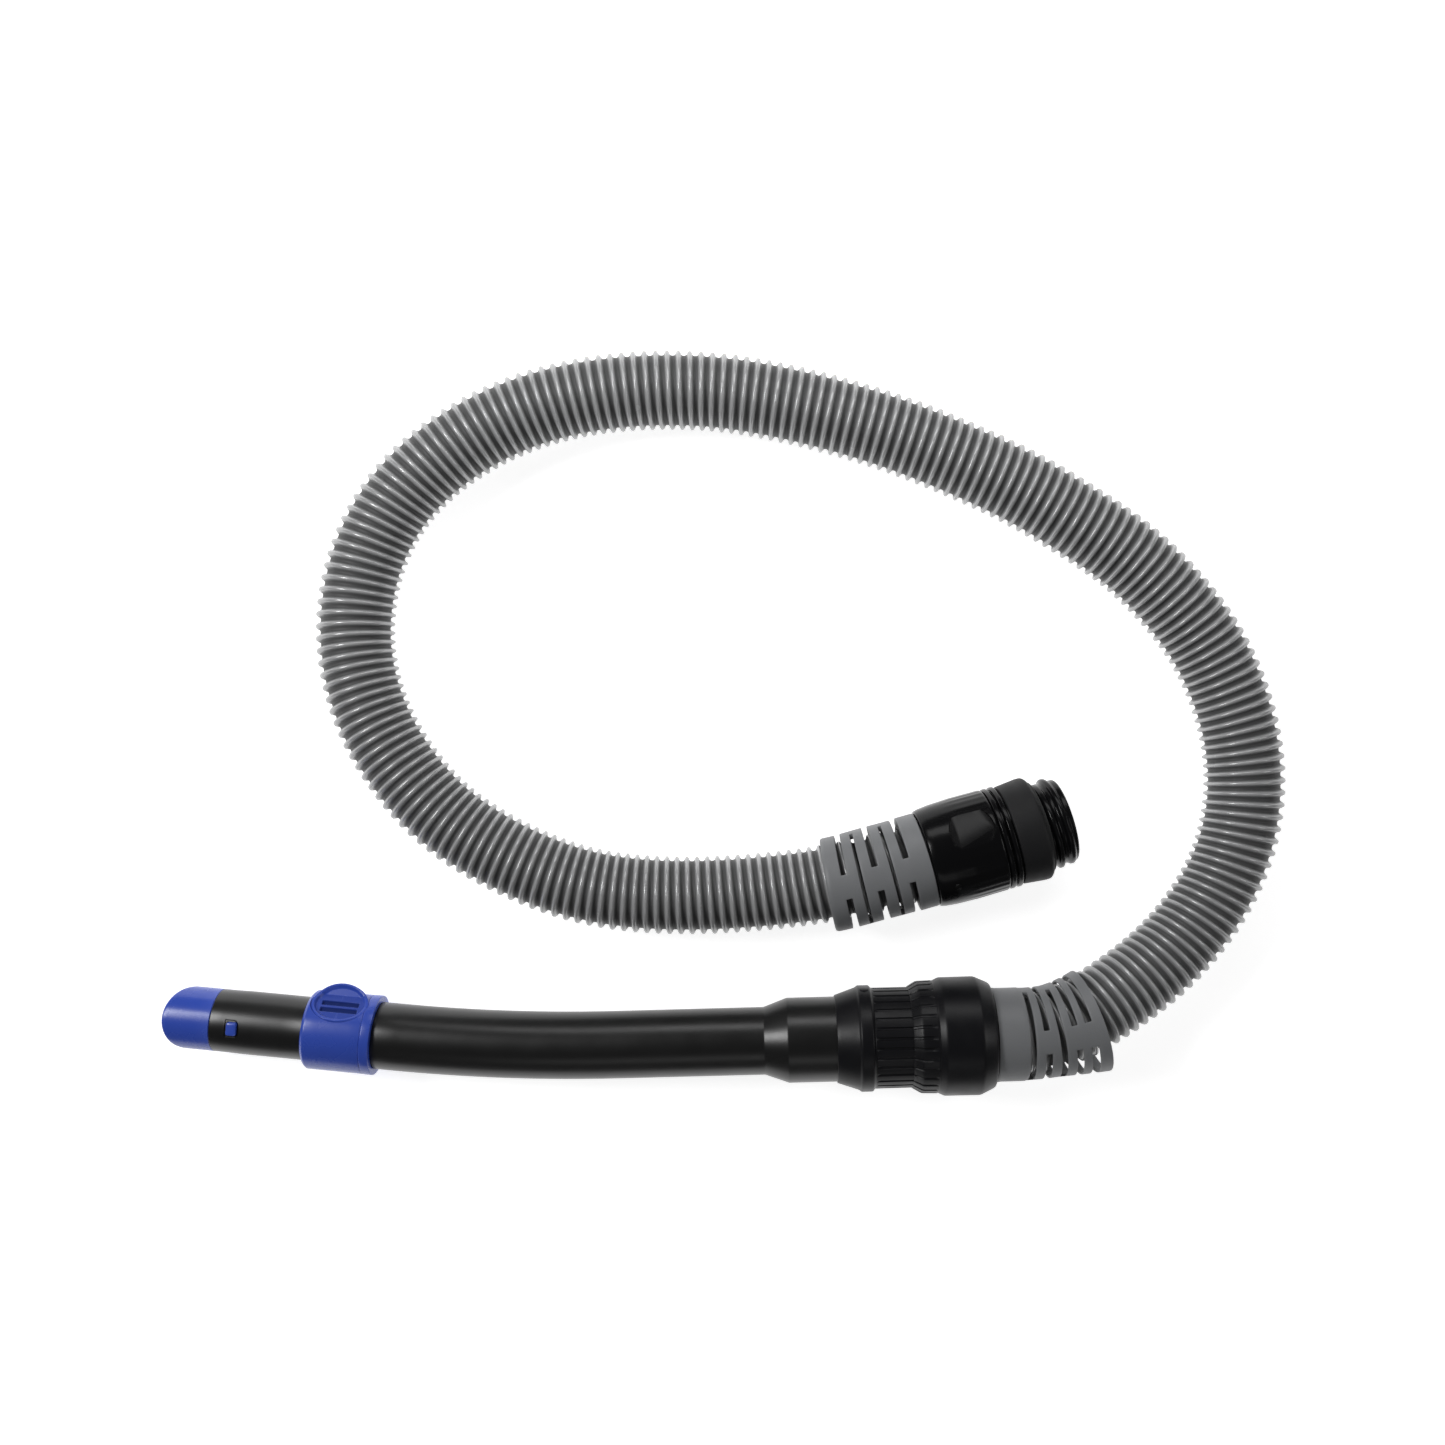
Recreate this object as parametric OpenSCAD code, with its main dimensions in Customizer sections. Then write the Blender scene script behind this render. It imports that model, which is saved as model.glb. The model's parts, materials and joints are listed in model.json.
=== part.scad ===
// Vacuum cleaner hose set: grip wand with suction regulator, ribbed hose and threaded machine connector.
// The set lies on a table at z = 0. +X runs along the grip towards the hose, +Z is up.

/* [Spigot and grip tube] */
// Outer diameter of the spigot that takes the cleaning tools
spigot_d = 32; // [31.5:0.1:32.5]
// Outer diameter of the grip tube
grip_d = 33.8; // [33:0.1:35]
// Air bore of the grip tube
tube_bore_d = 28; // [27:0.1:28.4]
// Angle of the gentle bend in the grip
bend_angle = 7; // [2:0.5:12]
// Radius of that bend along the tube's middle
bend_radius = 940; // [500:10:1200]
// Outer diameter of the flared socket
socket_d = 42.4; // [42:0.1:43]

/* [Nose] */
// Length of the black spigot from the end of the bend to the blue nose
nose_start = 91.5; // [90:0.5:100]
// Length from the end of the bend to the tip of the nose's long lip
nose_tip = 116.5; // [110:0.5:120]
// Slope of the cut that opens the mouth under the long lip
mouth_slope = 60; // [55:1:75]
// Roll of the long lip away from straight up
mouth_roll = 10; // [0:1:45]
// Air bore of the nose
nose_bore_d = 24.8; // [24:0.1:25.4]

/* [Suction regulator] */
// Outer diameter of the regulator ring
ring_d = 40.2; // [39.5:0.1:42]
// Length of the regulator ring
ring_length = 35.4; // [34:0.1:40]
// Turn of the ring from closed to open
ring_turn = 60; // [40:5:70]
// Way the thumb pad faces, from straight up
pad_angle = 49; // [30:1:60]
// Length of the oval thumb pad
pad_length = 29.5; // [26:0.5:32]
// Width of the oval thumb pad
pad_width = 22; // [20:0.5:26]

/* [Latch button] */
// Place of the button along the spigot, from the end of the bend
latch_at = 79.5; // [76:0.5:84]
// Size of the button along the spigot
button_length = 5.2; // [4.5:0.1:5.6]
// Size of the button across the spigot
button_width = 6.6; // [5:0.1:6.8]
// Travel of the button
button_travel = 2; // [1.8:0.1:2.2]

/* [Swivel] */
// Outer diameter of the swivel collar
collar_d = 59; // [57:0.5:62]
// Outer diameter of the ribbed barrel
barrel_d = 50; // [49.4:0.2:51]
// Number of grip ribs on the barrel
barrel_ribs = 32; // [24:1:40]
// Diameter on which both swivels turn
swivel_d = 40; // [39.6:0.1:40.4]
// Radial running clearance of both swivels
running_gap = 0.05; // [0.02:0.01:0.1]

/* [Hose] */
// Outer diameter of the hose over its ribs
hose_d = 40; // [38:0.5:40]
// Air bore of the hose
hose_bore_d = 32; // [31:0.5:32]
// Outer diameter of the grip end's cuff
handle_cuff_d = 46.8; // [46:0.2:48]
// Outer diameter of the machine end's cuff
machine_cuff_d = 48.8; // [47:0.2:49]

/* [Machine connector] */
// Largest diameter of the connector's grip
connector_d = 53.2; // [52:0.2:54]
// Outer diameter of the matt band
band_d = 53.4; // [53:0.2:55]
// Outer diameter over the thread
thread_d = 46.2; // [45.6:0.2:46.4]
// Pitch of the thread
thread_pitch = 5.6; // [5:0.1:6]
// Air bore of the threaded spigot
port_d = 38; // [36:0.5:38]

/* [Hidden] */
$fn = 96;

// Small gaps: between bodies that move, and the overlap that lets cutters pass through a face.
gap = 0.3;
cut = 1;

// Wand frame: its origin is on the swivel axis at the collar's hose end, +X points along the hose.
swivel_at = [182, -50];
collar_shoulder = 34.4;
bend_start = 191;
leg_at = [-bend_start - bend_radius * sin(bend_angle), bend_radius * (1 - cos(bend_angle))];

// The wand lies on the collar's shoulder edge and on the ring's far edge, so it slopes a little.
ring_start = 8.5;
ring_end = ring_start + ring_length;
rest_span = -leg_at[0] + ring_end - collar_shoulder;
wand_tilt = asin((collar_d - ring_d) / 2 / rest_span);
swivel_z = collar_d / 2 * cos(wand_tilt) + collar_shoulder * sin(wand_tilt);

// Lengths of the wand's own parts along its axis, measured from the swivel frame's origin.
flare_start = 115.5;
flare_end = 103.5;
tube_end = 60;
shoulder_step = ring_start - 0.4;
coupling_start = 79.1;
bead_start = 67.1;
bead_end = 59.3;
bead_d = barrel_d + 3;
barrel_end = 40.6;
coupling_end = 28;
lip_face = 16;
nest_d = 48;

// Swivel ferrules: sleeve, flange and hose nipple, the same at both ends.
ferrule_bore_d = 33;
flange_d = 46.8;
flange_length = 3;
washer_length = 2;
hose_start = 8;
nipple_length = 10;
nipple_bore_d = 29;

// Cuffs: a plain band, then slotted rows. The slotted part stands a little clear of the hose.
band_length = 13.5;
cuff_clear = 0.5;
slot_width = 2.7;
slot_sweep = 150;

// Machine frame: its origin is at the connector's hose end, +X points out of the thread.
machine_at = [152, 40];
machine_angle = 14;
machine_z = band_d / 2;
body_length = 36.8;
trim_width = 2.4;
trim_pitch = 3.6;
trim_d = 52.6;
band_start = 44;
band_end = 59.5;
spigot_end = 74;
spigot_start = 25.2;
thread_root_d = thread_d - 3.4;

// The hose's route. Its two ends follow from the two frames, and the points between lie on the table.
route_start = [swivel_at[0] + hose_start * cos(wand_tilt), swivel_at[1],
               swivel_z + hose_start * sin(wand_tilt)];
route_end = [machine_at[0] - nipple_length * cos(machine_angle),
             machine_at[1] - nipple_length * sin(machine_angle), machine_z];
route = [
  route_start,
  [206, -50, 31], [224, -45, 30], [240, -37, 28], [267, -21, 24], [290, 0, 21],
  [308, 26, 20], [318, 55, 20], [320, 86, 20], [314, 117, 20], [302, 146, 20],
  [284, 171, 20], [262, 194, 20], [236, 212, 20], [210, 229, 20], [182, 243, 20],
  [147, 259, 20], [105, 273, 20], [64, 283, 20], [33, 286, 20], [2, 286, 20],
  [-29, 282, 20], [-59, 273, 20], [-87, 258, 20], [-111, 238, 20], [-128, 212, 20],
  [-137, 182, 20], [-138, 151, 20], [-130, 120, 20], [-115, 93, 20], [-95, 69, 20],
  [-69, 51, 20], [-41, 37, 20], [-12, 28, 20], [26, 24, 20], [66, 25, 21],
  [98, 28, 23.5], [124, 33, 26],
  route_end
];
route_last = len(route) - 1;
tube_sides = 12;
rings_per_span = 2;

// Cubic B-spline along the route's points, with u counting points from the start.
function route_point(i) =
  i < 0 ? 2 * route[0] - route[1]
  : i > route_last ? 2 * route[route_last] - route[route_last - 1]
  : route[i];
function curve(p, q, r, s, t) =
  (pow(1 - t, 3) * p + (3 * pow(t, 3) - 6 * t * t + 4) * q + (3 * t + 3 * t * t - 3 * pow(t, 3) + 1) * r
    + pow(t, 3) * s) / 6;
function on_route(u) =
  let (i = min(floor(u), route_last - 1))
  curve(route_point(i - 1), route_point(i), route_point(i + 1), route_point(i + 2), u - i);
function unit(v) = v / norm(v);
function heading(u) = unit(on_route(min(u + 0.01, route_last)) - on_route(max(u - 0.01, 0)));

// One ring of points of radius r round the route at u.
function ring_points(u, r) =
  let (t = heading(u), side = unit(cross([0, 0, 1], t)), up = cross(t, side), c = on_route(u))
  [for (k = [0:tube_sides - 1]) let (a = 360 * k / tube_sides) c + r * (cos(a) * side + sin(a) * up)];

// Faces between ring i and the next one, of a skin whose points start at first.
function skin_faces(first, i, outward) =
  [for (k = [0:tube_sides - 1])
    let (a = first + i * tube_sides + k, b = first + i * tube_sides + (k + 1) % tube_sides)
    outward ? [a, a + tube_sides, b + tube_sides, b] : [a, b, b + tube_sides, a + tube_sides]];

// A hollow tube along the route through the places in us.
module sleeve_on_route(us, r_out, r_in) {
  n = len(us);
  inner = n * tube_sides;
  points = [for (r = [r_out, r_in]) for (u = us) each ring_points(u, r)];
  skins = [for (i = [0:n - 2]) each concat(skin_faces(0, i, true), skin_faces(inner, i, false))];
  start_cap = [for (k = [0:tube_sides - 1])
    let (m = (k + 1) % tube_sides) [k, m, inner + m, inner + k]];
  last = (n - 1) * tube_sides;
  end_cap = [for (k = [0:tube_sides - 1])
    let (m = (k + 1) % tube_sides) [last + m, last + k, inner + last + k, inner + last + m]];
  polyhedron(points, concat(skins, start_cap, end_cap), convexity = 10);
}

// Puts children at u on the route, with their X along it.
module at_route(u) {
  t = heading(u);
  translate(on_route(u)) rotate([0, -asin(t[2]), atan2(t[1], t[0])]) children();
}

// The three working frames.
module in_wand() {
  translate([swivel_at[0], swivel_at[1], swivel_z]) rotate([0, -wand_tilt, 0]) children();
}
module in_leg() {
  in_wand() translate([leg_at[0], leg_at[1], 0]) rotate([0, 0, -bend_angle]) children();
}
module in_machine() {
  translate([machine_at[0], machine_at[1], machine_z]) rotate([0, 0, machine_angle]) children();
}

// A shape turned about X from an outline of [x, radius] points.
module turned(outline) {
  rotate([0, 90, 0]) rotate_extrude() polygon([for (p = outline) [p[1], p[0]]]);
}

// A plain bar and a plain sleeve along X.
module bar(x0, x1, d) {
  translate([x0, 0, 0]) rotate([0, 90, 0]) cylinder(h = x1 - x0, d = d);
}
module sleeve(x0, x1, d_out, d_in) {
  difference() {
    bar(x0, x1, d_out);
    bar(x0 - cut, x1 + cut, d_in);
  }
}

// A block of a sleeve: from angle a0 over sweep a, measured from +Z towards +Y.
module sector(x0, x1, r_in, r_out, a0, a) {
  translate([x0, 0, 0]) rotate([0, 90, 0]) rotate([0, 0, 180 - a0 - a])
    rotate_extrude(angle = a) translate([r_in, 0]) square([r_out - r_in, x1 - x0]);
}

// Turns children round X, from +Z towards +Y.
module round_x(a) {
  rotate([-a, 0, 0]) children();
}

// A round run of diameter d along the grip's straight, bend and leg, down to tip on the leg.
// The bend is a hair slimmer and reaches into its neighbours, so the three join cleanly.
module tube_run(d, tip) {
  hair = 0.1;
  reach = 0.05;
  in_wand() bar(-bend_start, -flare_start, d);
  in_wand() translate([-bend_start, bend_radius, 0]) rotate([0, 0, -90 - bend_angle - reach])
    rotate_extrude(angle = bend_angle + 2 * reach, $fn = 720)
      translate([bend_radius, 0]) circle(d = d - hair, $fn = 96);
  in_leg() bar(-tip, 0, d);
}

// The leg's steps: a journal under the regulator ring, the land that grips a tool, and a slimmer tip.
journal_d = spigot_d + 0.8;
journal_end = ring_end + 0.4;
land_end = 76;
tip_d = spigot_d - 0.4;

// Stop lug of the regulator: place and width round the tube, place along it.
lug_angle = 265;
lug_sweep = 10;
lug_x = -16;
lug_width = 4;
lug_r = journal_d / 2 + 1.2;
stop_slack = 1;
bleed_angle = 140;
bleed_sweep = 40;
bleed_x = -32;
bleed_length = 14;

module wand_tube() {
  color([0.09, 0.09, 0.1]) difference() {
    union() {
      tube_run(grip_d, shoulder_step);
      in_leg() bar(-nose_start, -cut, tip_d);
      in_leg() bar(-land_end, -cut, spigot_d);
      in_leg() bar(-journal_end, -cut, journal_d);
      in_wand() turned([
        [-flare_start, 0], [-flare_start, grip_d / 2], [-flare_end, socket_d / 2],
        [-tube_end, socket_d / 2], [-tube_end, 0]
      ]);
      in_leg() sector(lug_x, lug_x + lug_width, spigot_d / 2 - cut, lug_r, lug_angle, lug_sweep);
    }
    tube_run(tube_bore_d, nose_start + cut);
    in_wand() turned([
      [-flare_start - cut, 0], [-flare_start - cut, tube_bore_d / 2], [-flare_start, tube_bore_d / 2],
      [-flare_end, socket_d / 2 - 3], [-tube_end + cut, socket_d / 2 - 3], [-tube_end + cut, 0]
    ]);
    in_leg() sector(bleed_x, bleed_x + bleed_length, tube_bore_d / 2 - cut, spigot_d / 2 + cut,
      bleed_angle - bleed_sweep / 2, bleed_sweep);
    in_leg() latch_window();
  }
}

// Window that the button passes through, in the tube and in the nose's sleeve.
module latch_window() {
  window = [button_length + 0.4, button_width + 0.4, spigot_d / 2];
  translate([-latch_at - window.x / 2, -window.y / 2, nose_bore_d / 4]) cube(window);
}

// What the mouth takes away from the nose, seen from its side: all that lies ahead of a sloping cut.
module mouth_side() {
  lip_top = tip_d / 2 - 0.4;
  ahead = spigot_d / 2;
  rise = tan(mouth_slope);
  polygon([
    [-nose_tip - ahead, lip_top + ahead * rise], [-nose_tip - ahead, -spigot_d],
    [-nose_tip + (lip_top + spigot_d) / rise, -spigot_d]
  ]);
}

module nose_insert() {
  color([0.16, 0.25, 0.68]) in_leg() difference() {
    union() {
      sleeve(-nose_start, -nose_start + 33.5, tube_bore_d, nose_bore_d);
      sleeve(-nose_tip, -nose_start, tip_d, nose_bore_d);
    }
    latch_window();
    round_x(mouth_roll) rotate([90, 0, 0]) linear_extrude(2 * spigot_d, center = true) mouth_side();
  }
}

module ribbed_coupling() {
  rib_width = 2.6;
  root_d = barrel_d - 1.2;
  color([0.08, 0.08, 0.09]) in_wand() {
    turned([
      [-coupling_start, socket_d / 2], [-coupling_start, socket_d / 2 + 0.6],
      [-bead_start, bead_d / 2 - 0.4], [-bead_start + 0.6, bead_d / 2], [-bead_end - 0.6, bead_d / 2],
      [-bead_end, bead_d / 2 - 0.6], [-bead_end, root_d / 2], [-barrel_end, root_d / 2],
      [-barrel_end, nest_d / 2], [-coupling_end, nest_d / 2], [-coupling_end, socket_d / 2]
    ]);
    for (k = [0:barrel_ribs - 1]) round_x(360 * k / barrel_ribs)
      translate([-bead_end - 0.4, -rib_width / 2, root_d / 2 - 0.2])
        cube([bead_end - barrel_end, rib_width, barrel_d / 2 - root_d / 2 + 0.2]);
    round_x(190) translate([-bead_start + 1.6, -3, bead_d / 2 - 1]) cube([4.6, 6, 2]);
  }
}

module swivel_collar() {
  edge_d = collar_d - 7;
  color([0.08, 0.08, 0.09]) in_wand() turned([
    [-barrel_end, nest_d / 2], [-barrel_end, barrel_d / 2 + 0.3],
    [-collar_shoulder, collar_d / 2], [-7.8, collar_d / 2], [-1.6, edge_d / 2 + 0.8], [-gap, edge_d / 2],
    [-gap, swivel_d / 2 + 1.5], [-2, swivel_d / 2 + running_gap], [-lip_face, swivel_d / 2 + running_gap],
    [-lip_face, nest_d / 2]
  ]);
}

// Lip seal between the coupling's end and the ferrule's flange, drawn from x0 towards +X.
module lip_seal(x0, length) {
  turned([
    [x0, nest_d / 2], [x0 + length, nest_d / 2], [x0 + length, nest_d / 2 - 2],
    [x0 + 2, nest_d / 2 - 2], [x0 + 2, swivel_d / 2 - 0.5], [x0, swivel_d / 2 - 1.5]
  ]);
}
seal_length = 5;
module swivel_seal() {
  color([0.14, 0.14, 0.14]) in_wand() lip_seal(-coupling_end, seal_length);
}

// Flanged ferrule with its nipple towards +X: x0 is the flange's far face, x1 the hose's end face.
module ferrule(x0, x1) {
  turned([
    [x0, ferrule_bore_d / 2], [x0, flange_d / 2], [x0 + flange_length, flange_d / 2],
    [x0 + flange_length, swivel_d / 2], [x1, swivel_d / 2], [x1, hose_bore_d / 2],
    [x1 + nipple_length, hose_bore_d / 2], [x1 + nipple_length, nipple_bore_d / 2],
    [x1 - 2, nipple_bore_d / 2], [x1 - 6, ferrule_bore_d / 2]
  ]);
}
washer_start = lip_face + 0.2 + washer_length;
module swivel_ferrule() {
  color([0.3, 0.3, 0.32]) in_wand() ferrule(-washer_start - flange_length, hose_start);
}
module swivel_washer() {
  color([0.85, 0.84, 0.8]) in_wand()
    sleeve(-washer_start, -washer_start + washer_length, flange_d + 0.4, swivel_d);
}

// V-shaped leaf spring under the button: lower leg on the bore, upper leg under the button's foot.
spring_width = 5;
spring_foot = 12.1;
spring_top = 10.5;
spring_sheet = 0.5;
module latch_spring() {
  back = -latch_at - 4;
  bend = -latch_at + 19.5;
  crest = -latch_at + 5.5;
  color([0.7, 0.7, 0.72]) in_leg() translate([0, spring_width / 2, 0]) rotate([90, 0, 0])
    linear_extrude(spring_width) polygon([
      [back, -spring_foot], [bend, -spring_foot], [bend, -spring_foot + spring_sheet],
      [crest, spring_top], [back, spring_top], [back, spring_top - spring_sheet],
      [crest - 0.4, spring_top - spring_sheet], [bend - 0.8, -spring_foot + spring_sheet],
      [back, -spring_foot + spring_sheet]
    ]);
}

module latch_button() {
  foot = [button_length + 2.4, button_width + 1.3, 1];
  foot_z = spring_top + 0.1;
  top = spigot_d / 2 + button_travel - 0.5;
  corner = 1;
  color([0.16, 0.25, 0.68]) in_leg() translate([-latch_at, 0, foot_z]) {
    translate([-foot.x / 2, -foot.y / 2, 0]) cube(foot);
    linear_extrude(top - foot_z) union() {
      square([button_length, button_width - 2 * corner], center = true);
      square([button_length - 2 * corner, button_width], center = true);
      for (x = [-1, 1]) for (y = [-1, 1])
        translate([x * (button_length / 2 - corner), y * (button_width / 2 - corner)])
          circle(r = corner, $fn = 24);
    }
  }
}

// Oval outline of the thumb pad, grown by g.
// The pad runs into the ring on one side and stands proud on the other.
module oval(g) {
  polygon([for (a = [0:8:352]) [(pad_length / 2 + g) * cos(a), (pad_width / 2 + g) * sin(a)]]);
}

module regulator_ring() {
  bore_r = journal_d / 2 + running_gap;
  edge = 1.6;
  pad_x = -(ring_start + ring_end) / 2 - 1;
  pad_y = 3.3;
  pad_top = 19.5;
  pad_root = 8.5;
  dish = 1.1;
  groove = 0.9;
  rim = 1.4;
  color([0.16, 0.25, 0.68]) in_leg() difference() {
    union() {
      turned([
        [-ring_end, bore_r], [-ring_end, ring_d / 2 - edge], [-ring_end + edge, ring_d / 2],
        [-ring_start - 4.6, ring_d / 2], [-ring_start - 4.2, ring_d / 2 - 0.4],
        [-ring_start - 3.8, ring_d / 2], [-ring_start - 0.8, ring_d / 2],
        [-ring_start, ring_d / 2 - 0.8], [-ring_start, bore_r]
      ]);
      round_x(pad_angle) translate([pad_x, pad_y, pad_root]) linear_extrude(pad_top - pad_root) oval(0);
    }
    round_x(pad_angle) translate([pad_x, pad_y, pad_top - dish]) linear_extrude(4 * dish) oval(-rim);
    round_x(pad_angle) for (y = [-2.6, 2.6]) translate([pad_x - 10, pad_y + y - 0.9, pad_top - dish - groove])
      cube([20, 1.8, 2 * groove]);
    bar(-ring_end - cut, -ring_start + cut, 2 * bore_r);
    sector(lug_x - gap, lug_x + lug_width + gap, bore_r - cut, lug_r + gap,
      lug_angle - stop_slack, lug_sweep + 2 * stop_slack + ring_turn);
    sector(bleed_x, bleed_x + bleed_length, bore_r - cut, ring_d,
      bleed_angle + ring_turn - bleed_sweep / 2, bleed_sweep);
  }
}

module hose_tube() {
  places = [for (k = [0:rings_per_span * route_last]) k / rings_per_span];
  color([0.5, 0.51, 0.52])
    sleeve_on_route(places, hose_d / 2, hose_bore_d / 2 / cos(180 / tube_sides));
}

// Slotted sleeve along the route through us, with rows of slots at the places in rows.
// The rows' bridges alternate: first_turn 0 has the first row's at the sides, 90 above and below.
module slotted_sleeve(us, rows, first_turn, d) {
  difference() {
    sleeve_on_route(us, d / 2, hose_d / 2 + cuff_clear);
    for (k = [0:len(rows) - 1]) at_route(rows[k]) for (half = [0, 180])
      sector(-slot_width / 2, slot_width / 2, hose_d / 2 - cut, d / 2 + cut,
        half + first_turn + 90 * (k % 2) - slot_sweep / 2, slot_sweep);
  }
}

// Where the cuffs' sleeves and rows of slots lie on the route, counted from each end's own point.
cuff_steps = 6;
handle_reach = [0.33, 2.51];
machine_reach = [0.17, 1.9];
handle_rows = [0.59, 1.01, 1.4, 1.79, 2.17];
machine_rows = [0.39, 0.76, 1.1, 1.41, 1.69];
function cuff_places(reach) = [for (k = [0:cuff_steps]) reach[0] + (reach[1] - reach[0]) * k / cuff_steps];

module handle_cuff() {
  color([0.38, 0.39, 0.4]) {
    in_wand() sleeve(gap, band_length + 0.1, handle_cuff_d, swivel_d);
    slotted_sleeve(cuff_places(handle_reach), handle_rows, 0, handle_cuff_d - 1);
  }
}

module machine_cuff() {
  color([0.38, 0.39, 0.4]) {
    in_machine() sleeve(-band_length - 0.1, -gap, machine_cuff_d, swivel_d);
    slotted_sleeve([for (u = cuff_places([machine_reach[1], machine_reach[0]])) route_last - u],
      [for (u = machine_rows) route_last - u], 90, machine_cuff_d - 1);
  }
}

module machine_ferrule() {
  color([0.3, 0.3, 0.32]) in_machine() mirror([1, 0, 0])
    ferrule(-washer_start - flange_length, nipple_length);
}
module machine_washer() {
  color([0.85, 0.84, 0.8]) in_machine()
    sleeve(washer_start - washer_length, washer_start, flange_d + 0.4, swivel_d);
}

// Shallow round thumb recess in the connector's grip.
thumb_angle = 26;
thumb_x = 23.5;
thumb_r = 11.3;
thumb_floor = 25;
module connector_body() {
  color([0.05, 0.05, 0.06]) in_machine() {
    difference() {
      turned([
        [gap, swivel_d / 2 + 1.5], [gap, connector_d / 2 - 1.6], [3, connector_d / 2 - 1],
        [9, connector_d / 2 - 0.4], [20, connector_d / 2], [body_length - 1, connector_d / 2 - 0.2],
        [body_length, connector_d / 2 - 1.2], [body_length, nest_d / 2], [lip_face, nest_d / 2],
        [lip_face, swivel_d / 2 + running_gap], [2, swivel_d / 2 + running_gap]
      ]);
      round_x(thumb_angle) translate([thumb_x, 0, thumb_floor]) cylinder(r = thumb_r, h = connector_d / 2);
    }
    round_x(-34) translate([9.5, 0, connector_d / 2 - 1.4]) cylinder(h = 1.6, d = 3.4, $fn = 32);
  }
}
module trim_rings() {
  color([0.05, 0.05, 0.06]) in_machine() for (k = [0, 1]) translate([body_length + trim_pitch * k, 0, 0])
    turned([
      [0.1, nest_d / 2], [0.1, trim_d / 2 - 0.8], [0.6, trim_d / 2], [trim_width, trim_d / 2],
      [trim_width + 0.4, trim_d / 2 - 0.8], [trim_width + 0.4, nest_d / 2]
    ]);
}
module connector_band() {
  color([0.13, 0.13, 0.14]) in_machine() turned([
    [band_start, nest_d / 2], [band_start, band_d / 2 - 1.8], [band_end - 4.5, band_d / 2],
    [band_end - 1.5, band_d / 2], [band_end, band_d / 2 - 1.5], [band_end, nest_d / 2]
  ]);
}

// Male thread: a tooth swept round the spigot, running out at both ends.
module thread(x0, turns, r_root, r_crest) {
  steps = 24;
  n = round(turns * steps);
  half = thread_pitch * 0.42;
  points = [for (k = [0:n])
    let (a = 360 * k / steps, x = x0 + thread_pitch * k / steps,
         fade = min(1, 0.1 + k / 6, 0.1 + (n - k) / 6), r = r_root + (r_crest - r_root) * fade)
    each [for (p = [[-half, r_root - 0.6], [-half * 0.35, r], [half * 0.35, r], [half, r_root - 0.6]])
      [x + p[0], p[1] * cos(a), p[1] * sin(a)]]];
  sides = [for (k = [0:n - 1]) for (j = [0:3])
    let (a = 4 * k + j, b = 4 * k + (j + 1) % 4) [a, b, b + 4, a + 4]];
  last = [4 * n, 4 * n + 1, 4 * n + 2, 4 * n + 3];
  polyhedron(points, concat([[3, 2, 1, 0]], sides, [last]), convexity = 6);
}
module threaded_spigot() {
  color([0.06, 0.06, 0.07]) in_machine() {
    difference() {
      union() {
        bar(spigot_start, band_end, nest_d);
        turned([[band_end, 0], [band_end, thread_root_d / 2], [spigot_end - 1, thread_root_d / 2],
                [spigot_end, thread_root_d / 2 - 0.8], [spigot_end, 0]]);
      }
      bar(spigot_start - cut, spigot_end + cut, port_d);
    }
    thread(band_end + 3.1, 1.6, thread_root_d / 2, thread_d / 2);
  }
}
module connector_seal() {
  color([0.14, 0.14, 0.14]) in_machine() mirror([1, 0, 0]) lip_seal(-spigot_start, seal_length - 1.4);
}
module spigot_gasket() {
  color([0.12, 0.12, 0.12]) in_machine() sleeve(band_end, band_end + 1.4, thread_root_d + 4, thread_root_d);
}

wand_tube();
nose_insert();
ribbed_coupling();
swivel_collar();
swivel_seal();
latch_spring();
latch_button();
regulator_ring();
hose_tube();
handle_cuff();
swivel_ferrule();
swivel_washer();
machine_cuff();
machine_ferrule();
machine_washer();
connector_body();
trim_rings();
connector_band();
threaded_spigot();
connector_seal();
spigot_gasket();
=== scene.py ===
"""Looks of a vacuum cleaner hose set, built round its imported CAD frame.

Shapes are drawn in millimetres in three working frames taken from the joints, and come out in metres.
WAND has its origin on the swivel at the collar's hose end, and LEG at the bent end of the grip: +X of both
runs from the nose towards the hose. MACHINE has its origin at the connector's hose end, with +X out of the
thread. Angles round a part are measured from up (+Z) towards +Y.
"""

import json
import math

import bmesh
import bpy
import numpy as np
from mathutils import Matrix, Vector


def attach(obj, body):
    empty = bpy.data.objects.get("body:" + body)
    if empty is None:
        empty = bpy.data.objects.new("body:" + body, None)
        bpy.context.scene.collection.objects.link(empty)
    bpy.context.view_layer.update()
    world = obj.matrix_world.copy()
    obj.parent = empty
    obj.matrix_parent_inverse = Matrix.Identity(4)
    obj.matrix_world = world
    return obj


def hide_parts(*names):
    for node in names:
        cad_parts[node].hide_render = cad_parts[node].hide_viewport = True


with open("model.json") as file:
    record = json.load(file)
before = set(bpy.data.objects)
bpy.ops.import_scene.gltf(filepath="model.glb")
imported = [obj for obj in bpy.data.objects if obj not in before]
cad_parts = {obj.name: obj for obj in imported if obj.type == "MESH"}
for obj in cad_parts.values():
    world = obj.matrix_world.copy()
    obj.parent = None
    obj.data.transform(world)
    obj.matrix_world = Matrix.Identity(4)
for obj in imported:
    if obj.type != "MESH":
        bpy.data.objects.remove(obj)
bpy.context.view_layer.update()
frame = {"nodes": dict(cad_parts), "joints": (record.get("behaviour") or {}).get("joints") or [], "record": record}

MM = 0.001
MERGE = 2e-6
# The point mark for painted shade in hollows.
PAINTED_SHADE_ATTRIBUTE = "painted_shade_mark"
FULL_TURN = 2 * math.pi
JOINTS = {joint["name"]: joint for joint in frame["joints"]}


def smooth_step(x, low, high):
    """Rises smoothly from 0 at low to 1 at high."""
    t = np.clip((x - low) / (high - low), 0, 1)
    return t * t * (3 - 2 * t)


# ---------------------------------------------------------------- frames

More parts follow.
